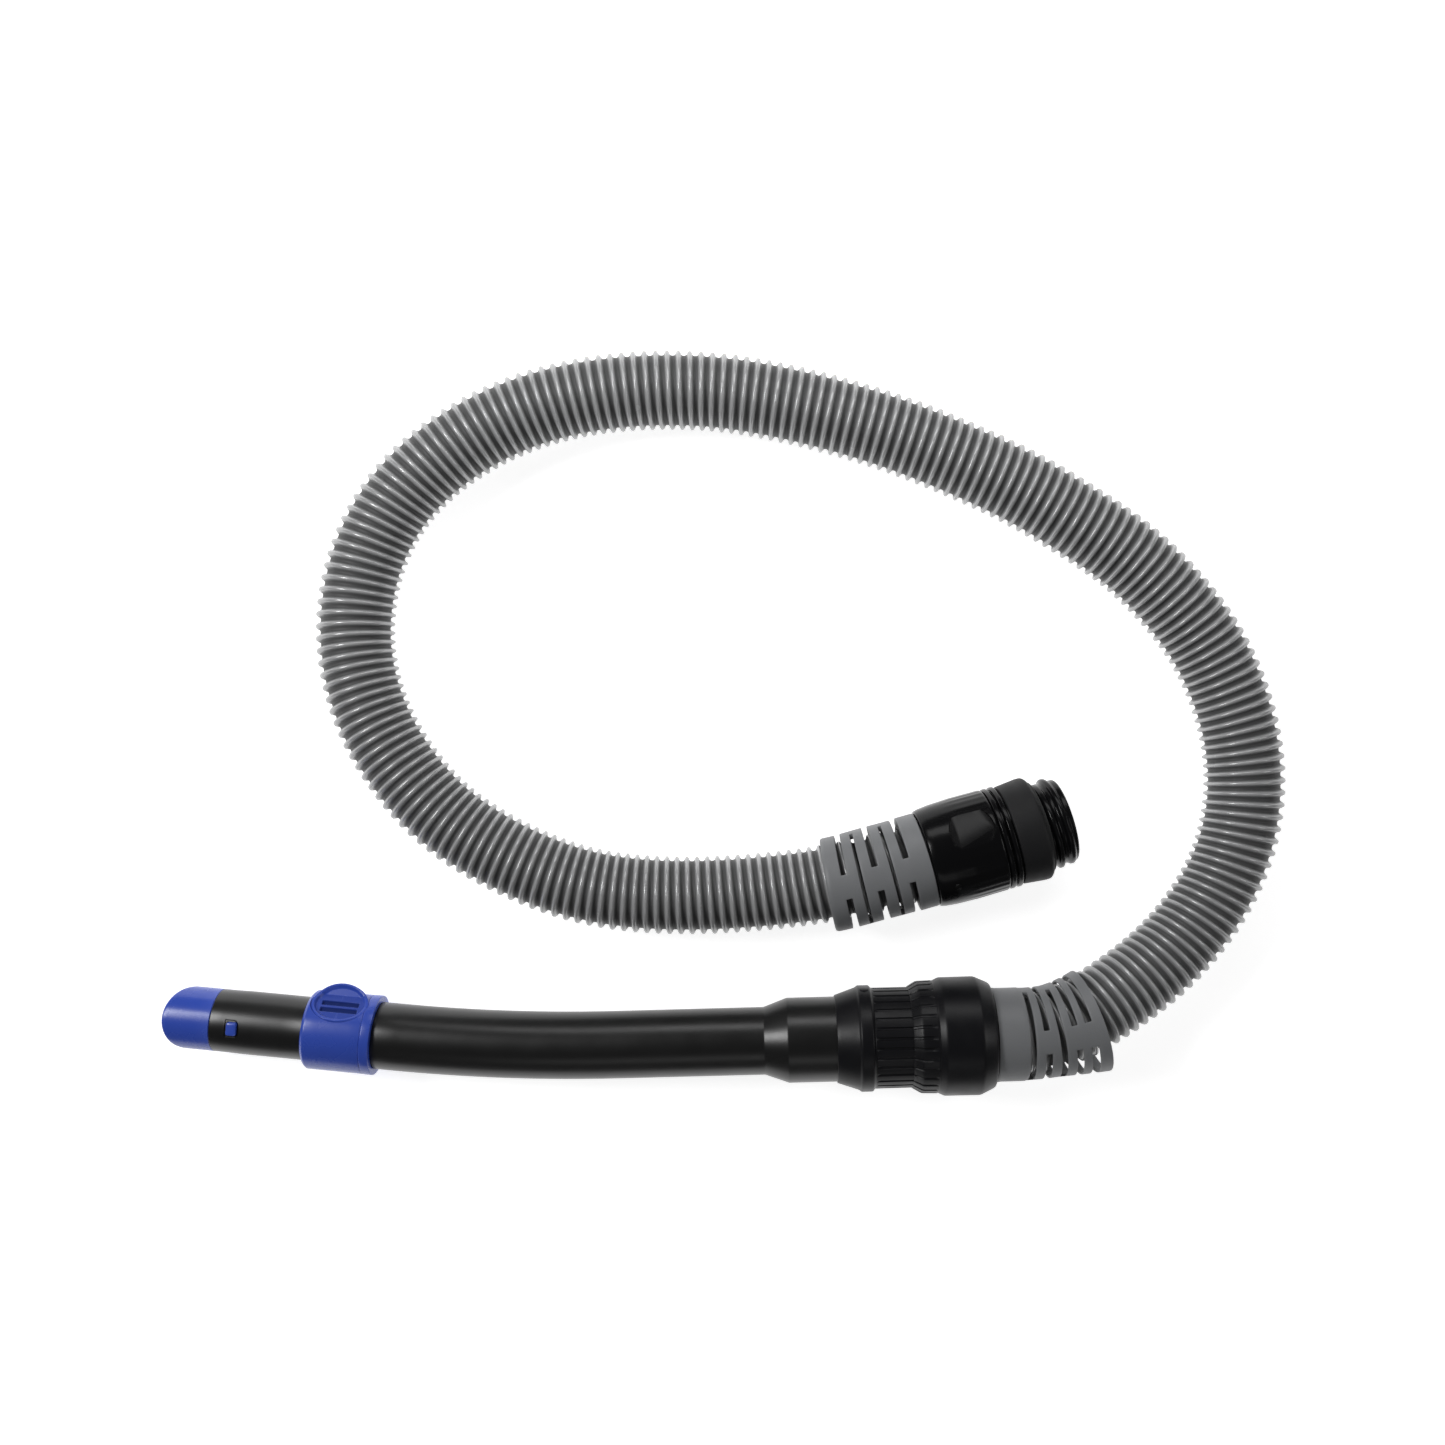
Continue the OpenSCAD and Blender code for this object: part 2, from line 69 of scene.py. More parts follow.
def joint_frame(name, x_of_point, up):
    """Millimetre frame with X on the joint's axis, in which the joint's point has that x."""
    joint = JOINTS[name]
    x = Vector(joint["axis"]).normalized()
    y = up.cross(x).normalized()
    z = x.cross(y)
    origin = Vector(joint["pos_m"]) - x * x_of_point * MM
    turn = Matrix((x, y, z)).transposed().to_4x4()
    return np.array(Matrix.Translation(origin) @ turn @ Matrix.Scale(MM, 4))


UP = Vector((0, 0, 1))
WAND_UP = -Vector(JOINTS["latch_press"]["axis"])
WAND = joint_frame("wand_swivel", -9, UP)
LEG = joint_frame("regulator_turn", -23, WAND_UP)
MACHINE = joint_frame("connector_swivel", 9, UP)


def placed(working_frame, x, y, z):
    """World points, in metres, of coordinates given in a working frame."""
    points = np.stack(np.broadcast_arrays(x, y, z), axis=-1).astype(float)
    return points @ working_frame[:3, :3].T + working_frame[:3, 3]


# The grip is straight, bends gently, and runs straight again. Along it, x carries on past the bend.
BEND_START = -191.0
BEND_ANGLE = math.radians(7)
BEND_RADIUS = 940.0
LEG_START = BEND_START - BEND_RADIUS * BEND_ANGLE


def placed_on_grip(x, y, z):
    """World points of coordinates along the bent grip, with x as the length along its middle."""
    turned = np.clip((BEND_START - x) / BEND_RADIUS, 0, BEND_ANGLE)
    beyond = np.minimum(x - LEG_START, 0)
    middle_x = np.maximum(x, BEND_START) - BEND_RADIUS * np.sin(turned) + beyond * np.cos(turned)
    middle_y = BEND_RADIUS * (1 - np.cos(turned)) - beyond * np.sin(turned)
    return placed(WAND, middle_x + y * np.sin(turned), middle_y + y * np.cos(turned), z)


# ---------------------------------------------------------------- the hose's route

# The middle of the hose from the grip's swivel round the loop to the machine connector, as in the CAD.
ROUTE_MM = [
    (206, -50, 31), (224, -45, 30), (240, -37, 28), (267, -21, 24), (290, 0, 21),
    (308, 26, 20), (318, 55, 20), (320, 86, 20), (314, 117, 20), (302, 146, 20),
    (284, 171, 20), (262, 194, 20), (236, 212, 20), (210, 229, 20), (182, 243, 20),
    (147, 259, 20), (105, 273, 20), (64, 283, 20), (33, 286, 20), (2, 286, 20),
    (-29, 282, 20), (-59, 273, 20), (-87, 258, 20), (-111, 238, 20), (-128, 212, 20),
    (-137, 182, 20), (-138, 151, 20), (-130, 120, 20), (-115, 93, 20), (-95, 69, 20),
    (-69, 51, 20), (-41, 37, 20), (-12, 28, 20), (26, 24, 20), (66, 25, 21),
    (98, 28, 23.5), (124, 33, 26),
]
HOSE_STARTS_AT = 8
HOSE_ENDS_AT = -10
STEPS_PER_SPAN = 24
STRAIGHT_ENDS = 14.0


def b_spline(points, steps):
    """Cubic B-spline that starts at the first point and ends at the last one."""
    points = [2 * points[0] - points[1], *points, 2 * points[-1] - points[-2]]
    t = np.linspace(0, 1, steps, endpoint=False)[:, None]
    spans = []
    for p, q, r, s in zip(points, points[1:], points[2:], points[3:]):
        spans.append(((1 - t) ** 3 * p + (3 * t**3 - 6 * t**2 + 4) * q
                      + (3 * t + 3 * t**2 - 3 * t**3 + 1) * r + t**3 * s) / 6)
    return np.concatenate([*spans, points[-2][None]])


def hose_line():
    """The hose's middle in metres, carried on straight at both ends, and the length along it in mm."""
    start = placed(WAND, HOSE_STARTS_AT, 0, 0)
    end = placed(MACHINE, HOSE_ENDS_AT, 0, 0)
    route = [start, *(np.array(p) * MM for p in ROUTE_MM), end]
    line = b_spline(route, STEPS_PER_SPAN)
    before = start - STRAIGHT_ENDS * WAND[:3, 0]
    after = end + STRAIGHT_ENDS * MACHINE[:3, 0]
    line = np.concatenate([before[None], line, after[None]])
    steps = np.linalg.norm(np.diff(line, axis=0), axis=1)
    along = np.concatenate([[0], np.cumsum(steps)]) / MM - STRAIGHT_ENDS
    return line, along


LINE, ALONG = hose_line()
HOSE_LENGTH = ALONG[-2]


def on_line(values, s):
    """Values given at ALONG, read at the lengths s."""
    return np.stack([np.interp(s, ALONG, values[:, k]) for k in range(3)], axis=-1)


def placed_on_hose(s, radius, angle, drift=0.0, line=LINE):
    """World points at length s along the hose, radius from its middle, and angle from up.

    drift moves them sideways, in millimetres.
    """
    s, radius, angle, drift = np.broadcast_arrays(s, radius, angle, drift)
    heading = on_line(np.gradient(line, ALONG, axis=0), s)
    heading /= np.linalg.norm(heading, axis=-1, keepdims=True)
    side = np.cross([0.0, 0.0, 1.0], heading)
    side /= np.linalg.norm(side, axis=-1, keepdims=True)
    up = np.cross(heading, side)
    sideways = (radius * np.sin(angle) + drift) * MM
    upwards = radius * np.cos(angle) * MM
    return on_line(line, s) + side * sideways[..., None] + up * upwards[..., None]


# ---------------------------------------------------------------- materials

CLOUD_CELLS = 38
CLOUD_SHADE = 0.92
GLOSS_CELLS = 90
EDGE_STARTS_AT = 0.515
EDGE_IS_WORN_AT = 0.6
MOST_WEAR = 0.6
SUNK_ROUGHER_BY = 0.3
SUNK_SPECULAR_SHARE = 0.3


def new_material(name):
    """An empty node material with its shader."""
    material = bpy.data.materials.new(name)
    material.use_nodes = True
    tree = material.node_tree
    tree.nodes.clear()
    shader = tree.nodes.new("ShaderNodeBsdfPrincipled")
    output = tree.nodes.new("ShaderNodeOutputMaterial")
    tree.links.new(shader.outputs["BSDF"], output.inputs["Surface"])
    return material, tree, shader


def noise(tree, scale, detail=3.0, stretch=(1, 1, 1)):
    """Noise of that many cells per metre in the part's own space."""
    where = tree.nodes.new("ShaderNodeTexCoord")
    mapping = tree.nodes.new("ShaderNodeMapping")
    mapping.inputs["Scale"].default_value = stretch
    texture = tree.nodes.new("ShaderNodeTexNoise")
    texture.inputs["Scale"].default_value = scale
    texture.inputs["Detail"].default_value = detail
    tree.links.new(where.outputs["Object"], mapping.inputs["Vector"])
    tree.links.new(mapping.outputs["Vector"], texture.inputs["Vector"])
    return texture.outputs["Fac"]


def mapped(tree, value, low, high, start=0.3, end=0.7):
    """The value's range from start to end spread over low to high."""
    node = tree.nodes.new("ShaderNodeMapRange")
    node.inputs["From Min"].default_value = start
    node.inputs["From Max"].default_value = end
    node.inputs["To Min"].default_value = low
    node.inputs["To Max"].default_value = high
    tree.links.new(value, node.inputs["Value"])
    return node.outputs["Result"]


def blended(tree, factor, first, second):
    """A colour between two colours or colour sockets."""
    node = tree.nodes.new("ShaderNodeMix")
    node.data_type = "RGBA"
    tree.links.new(factor, node.inputs["Factor"])
    for socket, colour in (("A", first), ("B", second)):
        plug = [i for i in node.inputs if i.name == socket and i.type == "RGBA"][0]
        if isinstance(colour, bpy.types.NodeSocket):
            tree.links.new(colour, plug)
        else:
            plug.default_value = (*colour, 1)
    return [o for o in node.outputs if o.type == "RGBA"][0]


def raised(tree, value, factor, by):
    """The value plus the factor times a number."""
    node = tree.nodes.new("ShaderNodeMath")
    node.operation = "MULTIPLY_ADD"
    node.inputs[1].default_value = by
    tree.links.new(factor, node.inputs[0])
    tree.links.new(value, node.inputs[2])
    return node.outputs["Value"]


def bumped(tree, shader, height, depth, strength=1.0):
    """Tilts the shader's normals by a height, depth metres high."""
    bump = tree.nodes.new("ShaderNodeBump")
    bump.inputs["Distance"].default_value = depth
    bump.inputs["Strength"].default_value = strength
    tree.links.new(height, bump.inputs["Height"])
    tree.links.new(bump.outputs["Normal"], shader.inputs["Normal"])


def moulded_plastic(name, colour, worn, roughness, grain_cells=2200, grain_depth=1.2e-5, metallic=0.0,
                    specular=0.5, spread=0.05, painted_shade_factor=None):
    """Moulded plastic: a fine grain, cloudy colour, uneven gloss, and edges a little paler from wear.

    Where a shade factor is given, points marked for painted shade get it: their colour is darkened by that factor,
    and they are duller.
    """
    material, tree, shader = new_material(name)
    cloudy = mapped(tree, noise(tree, CLOUD_CELLS, 4), 0.0, 1.0)
    tone = blended(tree, cloudy, tuple(c * CLOUD_SHADE for c in colour), colour)
    edge = tree.nodes.new("ShaderNodeNewGeometry").outputs["Pointiness"]
    wear = mapped(tree, edge, 0.0, MOST_WEAR, EDGE_STARTS_AT, EDGE_IS_WORN_AT)
    tone = blended(tree, wear, tone, worn)
    gloss = mapped(tree, noise(tree, GLOSS_CELLS, 3), roughness - spread, roughness + spread)
    shader.inputs["Metallic"].default_value = metallic
    if painted_shade_factor is None:
        shader.inputs["Specular IOR Level"].default_value = specular
    else:
        mark = tree.nodes.new("ShaderNodeAttribute")
        mark.attribute_name = PAINTED_SHADE_ATTRIBUTE
        painted_shade_mark = mark.outputs["Fac"]
        # Painted shade: the marked points are darkened.
        tone = blended(tree, painted_shade_mark, tone, tuple(c * painted_shade_factor for c in colour))
        gloss = raised(tree, gloss, painted_shade_mark, SUNK_ROUGHER_BY)
        dulled = mapped(tree, painted_shade_mark, specular, specular * SUNK_SPECULAR_SHARE, 0.0, 1.0)
        tree.links.new(dulled, shader.inputs["Specular IOR Level"])
    tree.links.new(tone, shader.inputs["Base Color"])
    tree.links.new(gloss, shader.inputs["Roughness"])
    bumped(tree, shader, noise(tree, grain_cells, 2), grain_depth)
    return material


def spring_steel(name):
    """Rolled sheet steel with fine lines along the strip."""
    material, tree, shader = new_material(name)
    lines = noise(tree, 900, 3, stretch=(0.05, 1, 1))
    tone = blended(tree, mapped(tree, lines, 0, 1), (0.42, 0.42, 0.43), (0.6, 0.6, 0.6))
    tree.links.new(tone, shader.inputs["Base Color"])
    tree.links.new(mapped(tree, lines, 0.24, 0.38), shader.inputs["Roughness"])
    bumped(tree, shader, lines, 5e-6)
    shader.inputs["Metallic"].default_value = 1.0
    return material


PLASTICS = {
    "black_tube": dict(
        colour=(0.005, 0.005, 0.005), worn=(0.02, 0.02, 0.02), roughness=0.33, spread=0.02, specular=0.6),
    "black_coupling": dict(
        colour=(0.006, 0.006, 0.0075), worn=(0.024, 0.024, 0.026), roughness=0.38, specular=0.25,
        grain_depth=1.6e-5),
    "black_gloss": dict(
        colour=(0.004, 0.004, 0.0045), worn=(0.014, 0.014, 0.014), roughness=0.2, spread=0.02,
        specular=0.18, grain_depth=3e-6),
    "black_matt": dict(
        colour=(0.009, 0.009, 0.01), worn=(0.02, 0.02, 0.02), roughness=0.6, specular=0.3,
        grain_cells=1500, grain_depth=4e-5),
    # Its shade factor paints shade into the thumb pad's dish and grooves.
    "blue_plastic": dict(
        colour=(0.034, 0.08, 0.47), worn=(0.08, 0.13, 0.54), roughness=0.27, spread=0.015,
        grain_depth=5e-6, painted_shade_factor=0.3),
    "cuff_grey": dict(
        colour=(0.195, 0.2, 0.208), worn=(0.25, 0.255, 0.26), roughness=0.5, grain_cells=1300,
        grain_depth=6e-5),
    # Its shade factor paints shade into the valleys between the hose's ribs.
    "hose_grey": dict(
        colour=(0.38, 0.383, 0.387), worn=(0.43, 0.433, 0.437), roughness=0.26, spread=0.015,
        specular=1.0, metallic=0.12, grain_depth=2e-6, painted_shade_factor=0.22),
    "ferrule_grey": dict(
        colour=(0.08, 0.08, 0.085), worn=(0.14, 0.14, 0.15), roughness=0.45),
    "washer_white": dict(
        colour=(0.72, 0.7, 0.64), worn=(0.78, 0.77, 0.72), roughness=0.4),
    "seal_rubber": dict(
        colour=(0.014, 0.014, 0.014), worn=(0.03, 0.03, 0.03), roughness=0.7, grain_cells=900,
        grain_depth=3e-5),
}
MATERIALS = {name: moulded_plastic(name, **look) for name, look in PLASTICS.items()}
MATERIALS["spring_steel"] = spring_steel("spring_steel")


# ---------------------------------------------------------------- mesh helpers

def grid_faces(rows, columns, wrap_rows=False):
    """Faces of a grid that closes round its columns, and round its rows too if asked."""
    faces = []
    for i in range(rows if wrap_rows else rows - 1):
        a, b = i * columns, (i + 1) % rows * columns
        for j in range(columns):
            k = (j + 1) % columns
            faces.append((a + j, a + k, b + k, b + j))
    return faces


def end_faces(rows, columns):
    """The two faces that close a grid's first and last row."""
    first = range(columns)
    last = range(rows * columns - 1, (rows - 1) * columns - 1, -1)
    return [tuple(first), tuple(last)]


def plain_mesh(name, points, faces, painted_shade_mark=None):
    """A mesh with doubled points merged and its faces turned outwards.

    A mark, if given, says at each point how much painted shade goes there.
    """
    mesh = bpy.data.meshes.new(name)
    mesh.from_pydata(np.asarray(points).reshape(-1, 3).tolist(), [], faces)
    if painted_shade_mark is not None:
        mesh.attributes.new(PAINTED_SHADE_ATTRIBUTE, "FLOAT", "POINT").data.foreach_set("value", np.ravel(painted_shade_mark))
    shape = bmesh.new()
    shape.from_mesh(mesh)
    bmesh.ops.remove_doubles(shape, verts=shape.verts, dist=MERGE)
    bmesh.ops.dissolve_degenerate(shape, edges=shape.edges, dist=MERGE / 4)
    bmesh.ops.recalc_face_normals(shape, faces=shape.faces)
    shape.to_mesh(mesh)
    shape.free()
    return mesh


def linked(name, mesh):
    """An object of that mesh, put into the scene."""
    obj = bpy.data.objects.new(name, mesh)
    bpy.context.collection.objects.link(obj)
    return obj


def applied(obj, kind, **settings):
    """Adds a modifier with these settings and applies it."""
    modifier = obj.modifiers.new(kind.title(), kind)
    for key, value in settings.items():
        setattr(modifier, key, value)
    with bpy.context.temp_override(object=obj, active_object=obj):
        bpy.ops.object.modifier_apply(modifier=modifier.name)


def carved(obj, cutters):
    """Cuts closed shapes, each given as points and faces, out of obj."""
    for points, faces in cutters:
        cutter = linked("cutter", plain_mesh("cutter", points, faces))
        applied(obj, "BOOLEAN", object=cutter, operation="DIFFERENCE", solver="EXACT")
        bpy.data.objects.remove(cutter, do_unlink=True)


def piece(name, points, faces, body, slot, replaces=(), cutters=(), bevel=0.0, sharp=32, painted_shade_mark=None):
    """A shown piece: its mesh, its material, the body it rides on and the CAD nodes it stands for."""
    obj = linked(name, plain_mesh(name, points, faces, painted_shade_mark))
    carved(obj, cutters)
    if bevel:
        applied(obj, "BEVEL", width=bevel * MM, segments=2, limit_method="ANGLE",
                angle_limit=math.radians(40), miter_outer="MITER_ARC")
    obj.data.materials.clear()
    obj.data.materials.append(MATERIALS[slot])
    obj.data.shade_smooth()
    obj.data.set_sharp_from_angle(angle=math.radians(sharp))
    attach(obj, body)
    if replaces:
        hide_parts(*replaces)
    return obj


NEARLY_STRAIGHT = math.radians(172)
LONGEST_SHARE = 0.45


def soften(outline, size, steps=4):
    """Rounds the corners of a closed outline, each by up to size."""
    rounded = []
    for k, corner in enumerate(outline):
        corner = Vector(corner)
        back = Vector(outline[k - 1]) - corner
        ahead = Vector(outline[(k + 1) % len(outline)]) - corner
        if back.angle(ahead) > NEARLY_STRAIGHT:
            rounded.append(corner)
            continue
        reach = min(size, LONGEST_SHARE * back.length, LONGEST_SHARE * ahead.length)
        first, last = corner + back.normalized() * reach, corner + ahead.normalized() * reach
        for t in np.linspace(0, 1, steps + 1):
            rounded.append(first * (1 - t) ** 2 + corner * 2 * t * (1 - t) + last * t**2)
    return rounded


def dense(outline, step):
    """Splits an outline's long sides into steps."""
    points = []
    for k, a in enumerate(outline):
        a, b = Vector(a), Vector(outline[(k + 1) % len(outline)])
        parts = max(1, math.ceil((b - a).length / step))
        points += [a.lerp(b, i / parts) for i in range(parts)]
    return points


def lathe(outline, place, steps=144, radius=None):
    """A closed outline of (x, radius) turned about X. place maps x, y, z to the world.

    radius, if given, changes the outline's radius by x and angle.
    """
    outline = np.array([tuple(p) for p in outline])
    angle = np.linspace(0, FULL_TURN, steps, endpoint=False)[None, :]
    x, r = outline[:, :1], outline[:, 1:2]
    if radius:
        r = radius(x, r, angle)
    r = np.broadcast_to(r, (len(outline), steps))
    points = place(x, r * np.sin(angle), r * np.cos(angle))
    return points, grid_faces(len(outline), steps, wrap_rows=True)


def in_frame(working_frame):
    """A place function for one of the straight working frames."""
    return lambda x, y, z: placed(working_frame, x, y, z)


IN_WAND, IN_LEG, IN_MACHINE = in_frame(WAND), in_frame(LEG), in_frame(MACHINE)


def prism(outline, low, high, angle, place):
    """A straight block over an outline of (x, sideways), from low to high along the direction at angle."""
    along, across = np.array([tuple(p) for p in outline]).T
    cosine, sine = math.cos(angle), math.sin(angle)
    levels = []
    for height in (low, high):
        levels.append(place(along, across * cosine + height * sine, height * cosine - across * sine))
    n = len(outline)
    faces = [(i, (i + 1) % n, n + (i + 1) % n, n + i) for i in range(n)]
    faces += end_faces(2, n)
    return np.concatenate(levels), faces


def oblong(left, right, half_width):
    """A rectangular outline of (x, sideways) for a prism."""
    return [(left, -half_width), (right, -half_width), (right, half_width), (left, half_width)]


def circle(x, across, radius, steps=64):
    """A round outline of (x, sideways) for a prism."""
    turns = np.linspace(0, FULL_TURN, steps, endpoint=False)
    return [(x + radius * math.cos(t), across + radius * math.sin(t)) for t in turns]


# ---------------------------------------------------------------- camera

SENSOR_WIDTH = 36
CAMERA_ABOVE = (0.0506, 0.1133)
CAMERA_HEIGHT = 0.722
AXIS_HEIGHT = 0.022
VIEW_WIDTH = 0.7444
PICTURE_TURN = -1.91


def add_camera():
    """Looks straight down at the middle of the lay."""
    data = bpy.data.cameras.new("camera")
    data.sensor_width = SENSOR_WIDTH
    data.lens = SENSOR_WIDTH * (CAMERA_HEIGHT - AXIS_HEIGHT) / VIEW_WIDTH
    camera = bpy.data.objects.new("camera", data)
    camera.location = (*CAMERA_ABOVE, CAMERA_HEIGHT)
    camera.rotation_euler = (0, 0, math.radians(PICTURE_TURN))
    bpy.context.collection.objects.link(camera)
    bpy.context.scene.camera = camera


# ---------------------------------------------------------------- hose

HOSE_RADIUS = 20.0
VALLEY_RADIUS = 17.5
RIB_HEIGHT = HOSE_RADIUS - VALLEY_RADIUS
RIB_PITCH = 5.5
RIB_PROFILE = [(0, 0), (0.14, 0.03), (0.23, 0.22), (0.3, 0.62), (0.38, 0.92), (0.5, 1),
               (0.62, 0.92), (0.7, 0.62), (0.77, 0.22), (0.86, 0.03)]
HOSE_SIDES = 40
HOSE_BORE = 16.2
BORE_STEP = 6


def hose_skin():
    """Left-hand spiral ribs: going once round a ring moves on by one pitch along the hose."""
    turns = round(HOSE_LENGTH / RIB_PITCH)
    pitch = HOSE_LENGTH / turns
    phase = np.array([p for p, _ in RIB_PROFILE])
    height = np.array([h for _, h in RIB_PROFILE])
    per_turn = len(RIB_PROFILE)
    start = (np.arange(-1, turns)[:, None] + phase).ravel() * pitch
    start = np.append(start, turns * pitch)
    rise = np.append(np.tile(height, turns + 1), 0)
    share = np.arange(HOSE_SIDES) / HOSE_SIDES
    s = start[:, None] + share * pitch
    held = np.clip(s, 0, HOSE_LENGTH)
    rise = rise[:, None] * (s == held)
    points = placed_on_hose(held, VALLEY_RADIUS + RIB_HEIGHT * rise, -share * FULL_TURN)
    faces = []
    top = len(start) - 1
    for i in range(top):
        for j in range(HOSE_SIDES):
            if j < HOSE_SIDES - 1:
                ahead = ((i + 1, j + 1), (i, j + 1))
            else:
                ahead = ((min(i + 1 + per_turn, top), 0), (min(i + per_turn, top), 0))
            corners = ((i, j), (i + 1, j), *ahead)
            lengths = [held[c] for c in corners]
            if max(lengths) > 0 and min(lengths) < HOSE_LENGTH:
                faces.append(tuple(a * HOSE_SIDES + b for a, b in corners))
    # The last value is painted shade in the valleys between the ribs.
    return points.reshape(-1, 3), faces, 1 - smooth_step(rise, 0.02, 0.62)


def hose_bore(first_index):
    """The smooth wall inside, and the flat ends that join it to the ribbed skin."""
    rows = int(HOSE_LENGTH / BORE_STEP)
    s = np.linspace(0, HOSE_LENGTH, rows)[:, None]
    angle = -np.arange(HOSE_SIDES) / HOSE_SIDES * FULL_TURN
    wall = placed_on_hose(s, HOSE_BORE, angle).reshape(-1, 3)
    faces = [tuple(first_index + k for k in f) for f in grid_faces(rows, HOSE_SIDES)]
    rims = np.concatenate([placed_on_hose(end, VALLEY_RADIUS, angle) for end in (0, HOSE_LENGTH)])
    rim_start = first_index + len(wall)
    for end, row in ((0, 0), (1, rows - 1)):
        for j in range(HOSE_SIDES):
            k = (j + 1) % HOSE_SIDES
            outer, inner = rim_start + end * HOSE_SIDES, first_index + row * HOSE_SIDES
            faces.append((outer + j, outer + k, inner + k, inner + j))
    return np.concatenate([wall, rims]), faces


def add_hose():
    """The hose in one piece from swivel to swivel."""
    skin, skin_faces, painted_shade_mark = hose_skin()
    inside, inside_faces = hose_bore(len(skin))
    # Only the ribbed skin gets painted shade, the bore none.
    painted_shade_mark = np.concatenate([np.ravel(painted_shade_mark), np.zeros(len(inside))])
    hose = piece("ribbed_hose", np.concatenate([skin, inside]), skin_faces + inside_faces,
                 "hose", "hose_grey", ["hose_tube"], sharp=60, painted_shade_mark=painted_shade_mark)


# ---------------------------------------------------------------- slotted cuffs

SLOT_SWEEP = math.radians(150)
CUFF_SIDES = 144
CUFF_CELL = 1.4
CUFF_GRIP_RADIUS = 20.05
CUFF_FREE_RADIUS = 21.0
CUFF_WALL = 1.1
CUFF_BEND = 0.6


def slot_rows(first, pitch, widths, turns):
    """Rows of slots along a cuff, each (middle, width, turn of its two slots from up)."""
    return [(first + pitch * k, w, math.radians(t)) for k, (w, t) in enumerate(zip(widths, turns))]


def shell_faces(cells):
    """Faces of a double wall round the kept cells, closed along every edge of a slot and at the ends."""
    rows, sides = cells.shape
    first_inner = (rows + 1) * sides

    def point(i, j, side):
        return side * first_inner + i * sides + j % sides

    def kept(i, j):
        return 0 <= i < rows and cells[i, j % sides]

    faces = []
    for i, j in np.argwhere(cells).tolist():
        corners = ((i, j), (i + 1, j), (i + 1, j + 1), (i, j + 1))
        faces.append([point(*c, 0) for c in corners])
        faces.append([point(*c, 1) for c in reversed(corners)])
        around = ((i, j - 1), (i + 1, j), (i, j + 1), (i - 1, j))
        for k, cell in enumerate(around):
            if not kept(*cell):
                a, b = corners[k], corners[(k + 1) % 4]
                faces.append([point(*a, 0), point(*b, 0), point(*b, 1), point(*a, 1)])
    return faces


def slotted_shell(start, end, rows, radius, inner, drift, line=LINE):
    """A sleeve along the hose with rows of slots through its wall."""
    edges = [start, end]
    for middle, width, _ in rows:
        edges += [middle - width / 2, middle + width / 2]
    edges = sorted(edges)
    s = [edges[0]]
    for a, b in zip(edges, edges[1:]):
        s += list(np.linspace(a, b, max(2, math.ceil((b - a) / CUFF_CELL) + 1))[1:])
    s = np.array(s)
    angle = np.arange(CUFF_SIDES) / CUFF_SIDES * FULL_TURN
    outer = placed_on_hose(s[:, None], radius(s)[:, None], angle, drift(s)[:, None], line)
    inside = placed_on_hose(s[:, None], inner(s)[:, None], angle, drift(s)[:, None], line)
    cells = np.ones((len(s) - 1, CUFF_SIDES), bool)
    mid_s = (s[1:] + s[:-1]) / 2
    mid_angle = angle + FULL_TURN / CUFF_SIDES / 2
    for middle, width, turn in rows:
        off = (mid_angle - turn + math.pi / 2) % math.pi - math.pi / 2
        cells[np.ix_(abs(mid_s - middle) < width / 2, abs(off) < SLOT_SWEEP / 2)] = False
    return np.concatenate([outer.reshape(-1, 3), inside.reshape(-1, 3)]), shell_faces(cells)


def stiff_line():
    """The handle cuff's middle: straight out of the collar, with only a share of the hose's bend."""
    straight = LINE[1] + ALONG[:, None] * WAND[:3, 0]
    return straight + CUFF_BEND * (LINE - straight)


def add_handle_cuff():
    """Rows of slots, from the swivel: across the top, sides, across the top, and two at the sides.

    The cuff bends less than the hose, so it widens towards its free end and stands off the hose's outside.
    """
    start, band, end = 0.3 - HOSE_STARTS_AT, 6.0, 43.8
    rows = slot_rows(8.9, 6.9, widths=(2.6, 2.9, 2.6, 2.9, 3.4), turns=(0, 90, 0, 90, 90))
    line = stiff_line()

    def inner(s):
        off_middle = np.linalg.norm(on_line(LINE - line, s), axis=-1) / MM
        free = smooth_step(s, band - 1, band) * (CUFF_FREE_RADIUS - CUFF_GRIP_RADIUS)
        return CUFF_GRIP_RADIUS + free + 1.05 * off_middle * smooth_step(s, 8, 20)

    def radius(s):
        lip = 0.35 * (1 - smooth_step(s, start + 0.8, start + 2))
        wide = 23.25 - 0.35 * smooth_step(s, band, band + 2) + lip - 0.4 * smooth_step(s, end - 0.9, end)
        return np.maximum(wide, inner(s) + CUFF_WALL)

    points, faces = slotted_shell(start, end, rows, radius, inner, lambda s: 0 * s, line)
    piece("slotted_handle_cuff", points, faces, "hose", "cuff_grey", ["handle_cuff"], bevel=0.35)


def add_machine_cuff():
    """Rows of slots, from the connector: sides, across the top, and so on. Those across are narrower."""
    start, end = HOSE_LENGTH - 41.5, HOSE_LENGTH + abs(HOSE_ENDS_AT) - 0.3
    rows = slot_rows(HOSE_LENGTH - 1, -7.7, widths=(3.1, 1.7, 3.1, 1.7, 3.1), turns=(90, 0, 90, 0, 90))

    def radius(s):
        return 24.35 - 0.25 * smooth_step(HOSE_LENGTH - s, 0, 3) - 0.6 * smooth_step(start + 1 - s, 0, 1)

    def inner(s):
        free = smooth_step(HOSE_LENGTH - s, 1, 3) * (CUFF_FREE_RADIUS - CUFF_GRIP_RADIUS)
        return CUFF_GRIP_RADIUS + free

    def drift(s):
        return -1.0 * smooth_step(HOSE_LENGTH - s, 16, 41)

    points, faces = slotted_shell(start, end, rows, radius, inner, drift)
    piece("slotted_machine_cuff", points, faces, "hose", "cuff_grey", ["machine_cuff"], bevel=0.35)


